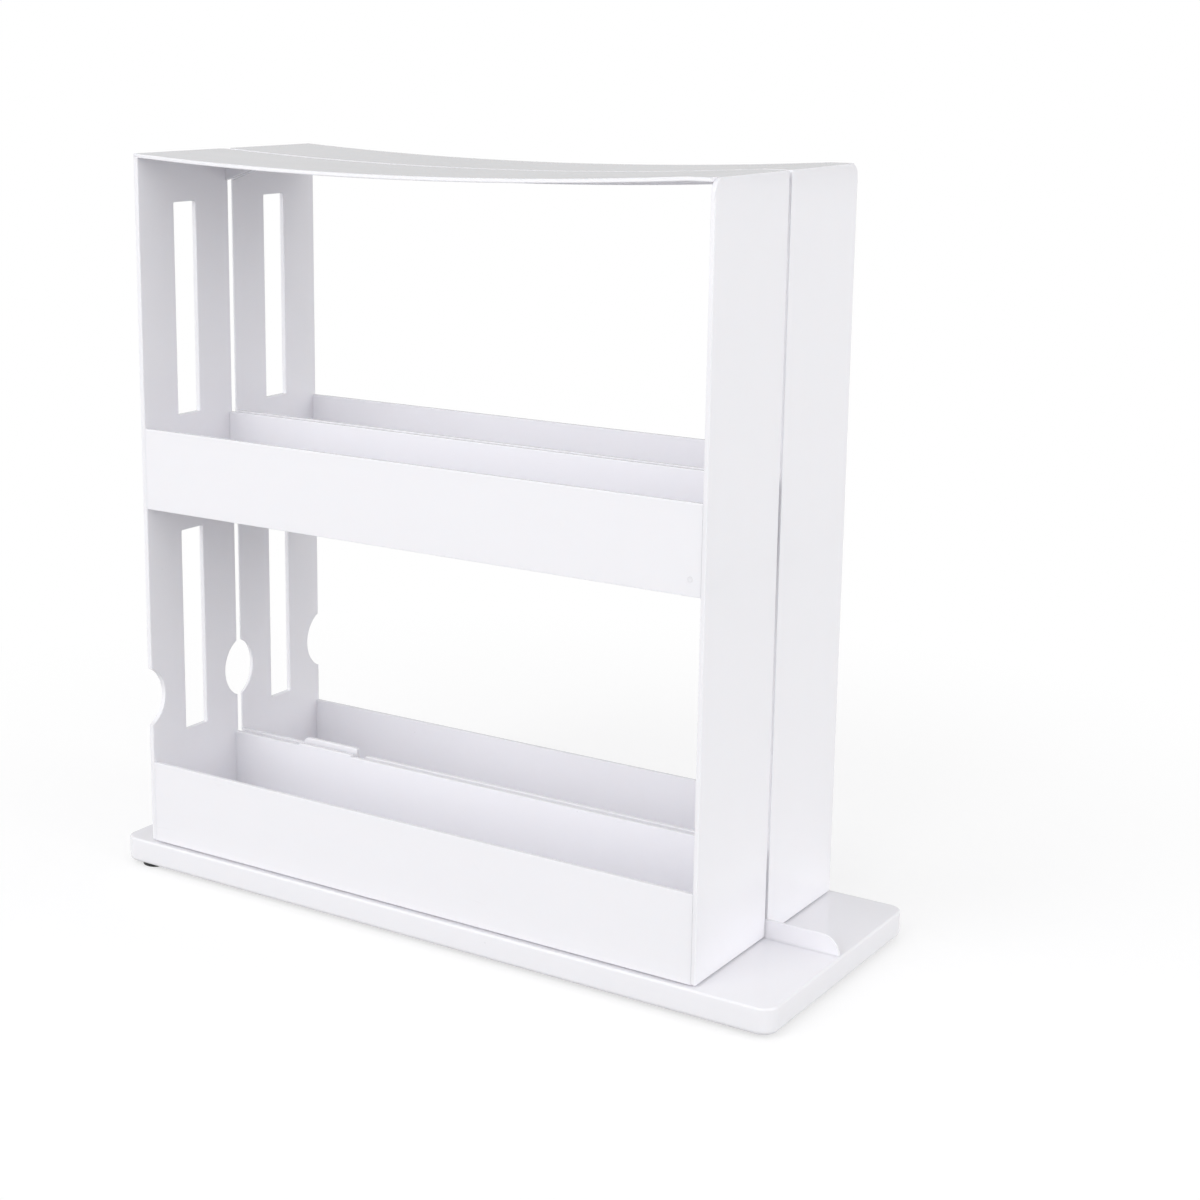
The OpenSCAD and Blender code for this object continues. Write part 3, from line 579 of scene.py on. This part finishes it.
def add_ledge(shell, x, way, z):
    """The ledge under the top panel, with the window for the snap tongue."""
    a, b = sorted([x - way * 0.3, x + way * LEDGE_D])
    middle, half_x, half_y = x + way * TONGUE_IN, TONGUE_HALF_T + 0.2, TONGUE_HALF_W + 0.2
    window = rect(middle - half_x, TONGUE_Y - half_y, middle + half_x, TONGUE_Y + half_y, 0.2, 3)
    edge, rim = soft_edge(z - LEDGE_T, z, 0.25, 0.15, 4), soft_edge(z - LEDGE_T, z, 0.15, 0.15, 3)
    shell.plate(flat, rect(a, LEDGE_Y[0], b, LEDGE_Y[1], 0.8, 4), edge, [window], rim)


def make_rear_panel():
    """The rear panel: an outline with a finger notch in each edge and two tall slots, and a soft edge all
    round."""
    shell = Shell()
    out = NOTCH_R - NOTCH_DEPTH
    half = math.degrees(math.acos(out / NOTCH_R))
    top = Z_TOP - 0.9
    corners = [(Y_IN, Z_MOD), (Y_OUT, Z_MOD), (Y_OUT, top), (Y_IN, top)]
    outline = np.concatenate([
        rounded(corners, [0.6, 0.6, 0, 0], 4)[:10],  # the two round corners at the foot
        arc((Y_OUT + out, NOTCH_Z), NOTCH_R, 180 + half, 180 - half, 26),
        corners[2:],
        arc((Y_IN - out, NOTCH_Z), NOTCH_R, half, -half, 26),
    ])
    y0, y1 = Y_MID - PANEL_SLOT_HALF, Y_MID + PANEL_SLOT_HALF
    slots = [rect(y0, low, y1, high, 0.5, 4) for low, high in PANEL_SLOTS]
    edge = soft_edge(X_REAR, X_TRAY, 0.35, 0.35, 5)
    shell.plate(upright, outline, edge, slots, edge)
    clear_rear_edge(shell)
    add_foot_lugs(shell, X_TRAY, 1, Z_MOD)
    add_foot_lugs(shell, X_TRAY, 1, Z_UPPER)
    add_ledge(shell, X_TRAY, 1, LEDGE_REAR)
    return shell


def make_front_panel():
    """The front panel: a tall plate with one large round corner at the top."""
    shell = Shell()
    corners = [(Y_IN, Z_MOD), (Y_OUT, Z_MOD), (Y_OUT, Z_TOP), (Y_IN, Z_TOP)]
    outline = rounded(corners, [0.7, 0.7, 4.5, 0.7], 10)
    shell.plate(upright, outline, soft_edge(X_IN, X_FRONT, 0.2, 0.28, 6))
    add_foot_lugs(shell, X_IN, -1, Z_MOD)
    add_foot_lugs(shell, X_IN, -1, Z_UPPER)
    add_ledge(shell, X_IN, -1, LEDGE_FRONT)
    return shell


def add_tongue(shell, x, way, z, top):
    """A snap tongue with its barb below the ledge, drawn from the side."""
    foot = z - LEDGE_T - 1.2
    t = TONGUE_HALF_T * way
    side = np.array([
        (x - t, foot), (x + t, foot), (x + t + way * BARB_D, foot + BARB_H), (x + t, foot + BARB_H),
        (x + t, top), (x - t, top),
    ])
    across = soft_edge(TONGUE_Y - TONGUE_HALF_W, TONGUE_Y + TONGUE_HALF_W, 0.12, 0.12, 2)
    shell.plate(lengthwise, side if way > 0 else side[::-1], across)


def make_top_panel():
    """The top panel: an L section, a thin sheet with a flange down its inner side, carried along the dip.
    The flange is gone over the rear panel, and deep beside it, where its gusset is."""
    shell = Shell()
    flange_y = Y_IN + FLANGE
    corners = [
        (Y_OUT, -TOP), (Y_OUT, 0), (Y_IN, 0), (Y_IN, -FLANGE_H), (flange_y, -FLANGE_H), (flange_y, -TOP),
    ]
    section = rounded(corners, [0.35, 0.4, 0.22, 0.35, 0.35, 0.6], 5)
    a = np.radians(np.linspace(0, 90, 6))
    r = 0.2
    end = X_TRAY + GUSSET_LEN
    xs = np.concatenate([
        X_REAR + r * (1 - np.cos(a)), X_REAR + np.array([0.8, 1.2, 1.6, 1.99, 2.01, 2.3, 2.6, 3.0]),
        np.linspace(X_TRAY + 2, end + 3, 16), np.linspace(X_TRAY + 26, X_FRONT - 10, 60),
        [X_IN - 6.4, X_IN],
    ])
    inset = np.concatenate([r * (1 - np.sin(a)), np.zeros(len(xs) - len(a))])
    line = np.interp(xs, [X_TRAY, end], [GUSSET_H, FLANGE_H + float(dip(end)) - 0.35], right=0)
    depth = np.where(xs < X_TRAY, TOP + 0.03, np.maximum(FLANGE_H, line - dip(xs)))
    under = np.maximum(-TOP - section[:, 1], 0)
    stretch = (depth - FLANGE_H) / (FLANGE_H - TOP)
    shell.sweep(section, xs, inset, Z_TOP - dip(xs)[:, None] - stretch[:, None] * under)
    clear_rear_edge(shell)
    add_tongue(shell, X_TRAY + TONGUE_IN, 1, LEDGE_REAR, Z_TOP - 1.2)
    add_tongue(shell, X_IN - TONGUE_IN, -1, LEDGE_FRONT, Z_TOP - 0.7)
    return shell


# Materials


class Wire:
    """A number or colour on its way through a material's nodes. Arithmetic on it adds Math nodes."""

    def __init__(self, paint, socket):
        self.paint, self.socket = paint, socket

    def math(self, operation, a, b):
        """One Math node."""
        return self.paint.node("ShaderNodeMath", {"operation": operation}, {0: a, 1: b})

    def __add__(self, other):
        return self.math("ADD", self, other)

    def __sub__(self, other):
        return self.math("SUBTRACT", self, other)

    def __rsub__(self, other):
        return self.math("SUBTRACT", other, self)

    def __mul__(self, other):
        return self.math("MULTIPLY", self, other)

    __radd__ = __add__
    __rmul__ = __mul__


class Paint:
    """The nodes of one material, or of the world."""

    def __init__(self, owner):
        self.owner = owner
        owner.use_nodes = True
        self.tree = owner.node_tree
        self.tree.nodes.clear()

    def node(self, kind, settings, sockets, output=0):
        """Any node: its type, its settings, the values or wires of its sockets, and the output wanted."""
        node = self.tree.nodes.new(kind)
        for key, value in settings.items():
            if key == "stops":
                ramp = node.color_ramp
                for i, (at, level) in enumerate(value):
                    stop = ramp.elements[i] if i < 2 else ramp.elements.new(at)
                    stop.position, stop.color = at, (level, level, level, 1)
            else:
                setattr(node, key, value)
        for key, value in sockets.items():
            if isinstance(value, Wire):
                self.tree.links.new(value.socket, node.inputs[key])
            else:
                node.inputs[key].default_value = value
        return Wire(self, node.outputs[output]) if node.outputs else None

    def place(self, kind="Object"):
        """Where a point lies: on the object, or, with Generated, which way it lies in the world."""
        return self.node("ShaderNodeTexCoord", {}, {}, kind)

    def ray(self, kind):
        """1 for rays of that kind, 0 for others."""
        return self.node("ShaderNodeLightPath", {}, {}, f"Is {kind} Ray")

    def shown(self):
        """1 where the backdrop is seen, by the camera, in a gloss or through glass, and 0 where it is light
        that falls on things."""
        camera, glossy, through = (self.ray(kind) for kind in ("Camera", "Glossy", "Transmission"))
        return 1 - (1 - camera) * (1 - glossy) * (1 - through)

    def stretch(self, scale):
        """Object coordinates, stretched by a scale along each axis."""
        return self.node("ShaderNodeMapping", {}, {"Vector": self.place(), "Scale": scale})

    def noise(self, scale, detail, rough, where=None, warp=0.0):
        """Soft noise from 0 to 1, with scale lumps to a metre."""
        sockets = {"Scale": scale, "Detail": detail, "Roughness": rough, "Distortion": warp}
        return self.node("ShaderNodeTexNoise", {}, {"Vector": where or self.place(), **sockets})

    def ramp(self, wire, *stops):
        """A number passed through a curve of (position, level) stops."""
        return self.node("ShaderNodeValToRGB", {"stops": stops}, {"Fac": wire})

    def rise(self, wire, start, end):
        """0 up to start, 1 from end on, and a slope between them."""
        return self.ramp(wire, (0.0, 0.0), (start, 0.0), (end, 1.0))

    def blend(self, factor, a, b):
        """A colour between a and b."""
        return self.node("ShaderNodeMix", {"data_type": "RGBA"}, {0: factor, 6: a, 7: b}, 2)

    def bump(self, height, distance, strength, under=None):
        """A surface roughened by height, times distance in metres, on top of another such surface if one is
        given."""
        sockets = {"Height": height, "Distance": distance, "Strength": strength}
        if under is not None:
            sockets["Normal"] = under
        return self.node("ShaderNodeBump", {}, sockets)

    def finish(self, shader):
        """Ends the material in a Principled shader with these sockets."""
        principled = self.node("ShaderNodeBsdfPrincipled", {}, shader)
        self.node("ShaderNodeOutputMaterial", {}, {"Surface": principled})
        return self.owner


def white_moulding(name, flow, seed):
    """Glossy white moulded plastic, a little cool. Broad unevenness of the melt along flow, faint scuffs and
    a few specks of dust, and a surface that waves by hundredths of a millimetre."""
    paint = Paint(bpy.data.materials.new(name))
    moved = {"Vector": paint.place(), "Location": (seed, 0.7 * seed, 0.3 * seed)}
    shifted = paint.node("ShaderNodeMapping", {}, moved)
    broad = paint.noise(14, 3, 0.5, shifted)
    melt = paint.noise(60, 3, 0.55, paint.stretch(flow), 0.6)
    fine = paint.noise(1900, 2, 0.6, shifted)
    scratch = paint.noise(240, 4, 0.7, paint.stretch((0.12, 1.0, 1.0)), 1.2)
    scuff = paint.rise(scratch, 0.66, 0.74)
    patch = paint.rise(paint.noise(20, 2, 0.5, shifted), 0.5, 0.62)
    worn = scuff * patch
    dust = paint.node("ShaderNodeTexVoronoi", {}, {"Vector": shifted, "Scale": 95.0}, "Distance")
    grain = paint.ramp(dust, (0.0, 1.0), (0.012, 1.0), (0.03, 0.0))
    speck = grain * paint.rise(paint.noise(9, 1, 0.5, shifted), 0.6, 0.64)
    tone = 0.6 * broad + 0.4 * melt
    white = paint.blend(tone, (0.925, 0.917, 0.957, 1), (0.948, 0.94, 0.982, 1))
    white = paint.blend(0.22 * worn, white, (0.73, 0.73, 0.75, 1))
    white = paint.blend(0.35 * speck, white, (0.42, 0.41, 0.4, 1))
    rough = 0.05 + 0.05 * broad + 0.03 * melt + 0.16 * worn + 0.02 * fine
    wave = paint.bump(paint.noise(26, 2, 0.45, shifted), 0.00012, 0.5)
    return paint.finish({
        "Base Color": white, "Roughness": rough, "IOR": 1.49,
        "Normal": paint.bump(fine, 0.000006, 0.6, wave),
        "Subsurface Weight": 0.2, "Subsurface Radius": (1.0, 0.9, 0.85), "Subsurface Scale": 0.002,
    })


def acetal():
    """Natural acetal: waxy off-white, with a faint cloudiness and fine turning marks."""
    paint = Paint(bpy.data.materials.new("acetal"))
    cloud = paint.noise(120, 3, 0.5)
    marks = paint.noise(900, 2, 0.5, paint.stretch((0.15, 1.0, 1.0)))
    colour = paint.blend(cloud, (0.74, 0.72, 0.65, 1), (0.82, 0.81, 0.76, 1))
    return paint.finish({
        "Base Color": colour, "Roughness": 0.38 + 0.12 * marks, "IOR": 1.48,
        "Normal": paint.bump(marks, 0.00001, 0.5),
    })


def rubber():
    """Dark moulded rubber, matt and finely pebbled, greyed here and there by dust."""
    paint = Paint(bpy.data.materials.new("rubber"))
    pebble = paint.noise(2400, 3, 0.6)
    dust = paint.rise(paint.noise(150, 4, 0.6), 0.5, 0.8)
    colour = paint.blend(0.5 * dust, (0.018, 0.018, 0.02, 1), (0.09, 0.088, 0.085, 1))
    return paint.finish({
        "Base Color": colour, "Roughness": 0.7 + 0.12 * pebble, "Normal": paint.bump(pebble, 0.00004, 0.7),
    })


def plated_steel():
    """Zinc-plated steel: a fine cloudy shine with small spangles and turning lines round the axis."""
    paint = Paint(bpy.data.materials.new("plated_steel"))
    cells = {"Vector": paint.place(), "Scale": 2200.0}
    spangle = paint.node("ShaderNodeTexVoronoi", {}, cells, "Color")
    grey = paint.node("ShaderNodeRGBToBW", {}, {"Color": spangle})
    lines = paint.noise(5200, 1, 0.5, paint.stretch((0.4, 0.4, 2.0)))
    cloud = paint.noise(420, 3, 0.55)
    colour = paint.blend(0.6 * cloud + 0.3 * grey, (0.5, 0.51, 0.53, 1), (0.72, 0.72, 0.71, 1))
    return paint.finish({
        "Base Color": colour, "Metallic": 1.0, "Roughness": 0.24 + 0.14 * grey + 0.08 * lines,
        "Normal": paint.bump(lines, 0.000006, 0.5),
    })


# Pieces onto their bodies

WHITE_BASE = white_moulding("white_moulding_base", (0.5, 1.0, 1.0), 1.3)
WHITE_TRAY = white_moulding("white_moulding_tray", (0.25, 1.0, 1.0), 3.1)
WHITE_PANEL = white_moulding("white_moulding_panel", (1.0, 1.0, 0.3), 5.7)
WHITE_TOP = white_moulding("white_moulding_top", (0.3, 1.0, 1.0), 8.2)
ACETAL, RUBBER, STEEL = acetal(), rubber(), plated_steel()


def fit(piece, body, node):
    """The piece rides on the body, and the node that it is drawn again for is hidden."""
    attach(piece, body)
    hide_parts(node)


fit(make_deck().piece("deck_moulding", WHITE_BASE), "base", "base_deck")
fit(make_cover().piece("bottom_cover", WHITE_BASE), "base", "base_cover")
fit(make_feet().piece("stick_on_feet", RUBBER), "base", "rubber_feet")

SIDES = {"left": (-1, 0.8, 0.0), "right": (1, 2.3, 3.0)}  # way of Y, height of the lug, depth of the notch
for side_name, (side, lug, notch) in SIDES.items():
    module = [
        ("lower_tray", make_lower_tray(lug, notch), WHITE_TRAY),
        ("upper_tray", make_upper_tray(), WHITE_TRAY),
        ("rear_panel", make_rear_panel(), WHITE_PANEL),
        ("front_panel", make_front_panel(), WHITE_PANEL),
        ("top_panel", make_top_panel(), WHITE_TOP),
    ]
    for name, shell, material in module:
        node = f"{side_name}_{name}"
        fit(shell.piece(f"{node}_moulding", material, side), f"{side_name}_shelf", node)

FINISHES = {"white_plastic": WHITE_BASE, "acetal": ACETAL, "rubber": RUBBER, "steel": STEEL}
for part in frame["record"]["subparts"]:
    for material_slot in frame["nodes"][part["node"]].material_slots:
        material_slot.material = FINISHES[part["material_slot"]]


# Floor, light and camera


def make_floor():
    """A plain pale floor that keeps the shadow under the rack. It shows a little lifted, and further out it
    fades into the white backdrop."""
    mesh = bpy.data.meshes.new("floor")
    mesh.from_pydata([(-4, -4, 0), (4, -4, 0), (4, 4, 0), (-4, 4, 0)], [], [(0, 1, 2, 3)])
    floor = bpy.data.objects.new("floor", mesh)
    bpy.context.scene.collection.objects.link(floor)
    paint = Paint(bpy.data.materials.new("pale_floor"))
    pale = paint.blend(paint.noise(3, 2, 0.5), (0.44, 0.44, 0.445, 1), (0.46, 0.46, 0.46, 1))
    shown = paint.shown()
    lift = paint.node("ShaderNodeEmission", {}, {"Color": WHITE, "Strength": 0.6 * shown})
    matt = paint.node("ShaderNodeBsdfDiffuse", {}, {"Color": pale})
    lit = paint.node("ShaderNodeAddShader", {}, {0: matt, 1: lift})
    away = paint.node("ShaderNodeVectorMath", {"operation": "LENGTH"}, {0: paint.place()}, "Value")
    fade = paint.rise(away, 0.2, 0.42)
    backdrop = paint.node("ShaderNodeEmission", {}, {"Color": WHITE, "Strength": 1.0})
    both = paint.node("ShaderNodeMixShader", {}, {0: fade * shown, 1: lit, 2: backdrop})
    paint.node("ShaderNodeOutputMaterial", {}, {"Surface": both})
    mesh.materials.append(paint.owner)


def make_world(strength, lean, levels):
    """A soft studio: light from all round, whose levels run from the horizon up, on a white backdrop. lean
    is how much brighter it is from the left, and how much dimmer from the right."""
    paint = Paint(bpy.data.worlds.new("studio"))
    bpy.context.scene.world = paint.owner
    height = paint.node("ShaderNodeSeparateXYZ", {}, {0: paint.place("Generated")}, "Z")
    across = paint.node("ShaderNodeSeparateXYZ", {}, {0: paint.place("Generated")}, "Y")
    studio = {"Color": paint.ramp(height, *levels), "Strength": strength - strength * lean * across}
    light = paint.node("ShaderNodeBackground", {}, studio)
    backdrop = 1 - (1 - GLOSS_SEES) * paint.ray("Glossy")
    white = paint.node("ShaderNodeBackground", {}, {"Color": WHITE, "Strength": backdrop})
    both = paint.node("ShaderNodeMixShader", {}, {0: paint.shown(), 1: light, 2: white})
    paint.node("ShaderNodeOutputWorld", {}, {"Surface": both})


def lamp(name, turn, height, watts):
    """A soft square lamp. It stands turn degrees round from the left side, towards the front, and height
    degrees above the floor, and faces the middle of the rack."""
    light = bpy.data.lights.new(name, "AREA")
    light.shape, light.size, light.energy = "SQUARE", LAMP_SIZE, watts
    obj = bpy.data.objects.new(name, light)
    bpy.context.scene.collection.objects.link(obj)
    a, e = math.radians(turn), math.radians(height)
    away = Vector((math.sin(a) * math.cos(e), -math.cos(a) * math.cos(e), math.sin(e)))
    obj.location = Vector((0, 0, 0.12)) + LAMP_AWAY * away
    obj.rotation_euler = away.to_track_quat("Z", "Y").to_euler()


def make_camera():
    """The photograph's camera: its place, turn, tilt, roll, focal length and shift."""
    az, el, roll = (math.radians(angle) for angle in (CAMERA_TURN, CAMERA_TILT, CAMERA_ROLL))
    ahead = Vector((-math.sin(az) * math.cos(el), math.cos(az) * math.cos(el), math.sin(el)))
    right = ahead.cross(Vector((0, 0, 1))).normalized()
    up = right.cross(ahead)
    turned = math.cos(roll) * right + math.sin(roll) * up
    over = math.cos(roll) * up - math.sin(roll) * right
    data = bpy.data.cameras.new("camera")
    data.sensor_fit, data.sensor_width = "HORIZONTAL", SENSOR
    data.lens = FOCAL / FRAME * SENSOR
    data.shift_x = (FRAME / 2 - FRAME_CENTRE[0]) / FRAME
    data.shift_y = (FRAME_CENTRE[1] - FRAME / 2) / FRAME
    data.clip_start, data.clip_end = 0.01, 30
    camera = bpy.data.objects.new("camera", data)
    bpy.context.scene.collection.objects.link(camera)
    place = Matrix((turned, over, -ahead)).transposed().to_4x4()
    place.translation = Vector(CAMERA_PLACE)
    camera.matrix_world = place
    bpy.context.scene.camera = camera


make_floor()
make_world(1.14, 0.2, STUDIO_LEVELS)
for lamp_name, turn, height, watts in LAMPS:
    lamp(lamp_name, turn, height, watts)
make_camera()
bpy.context.scene.view_settings.view_transform = "Standard"

bpy.context.view_layer.update()
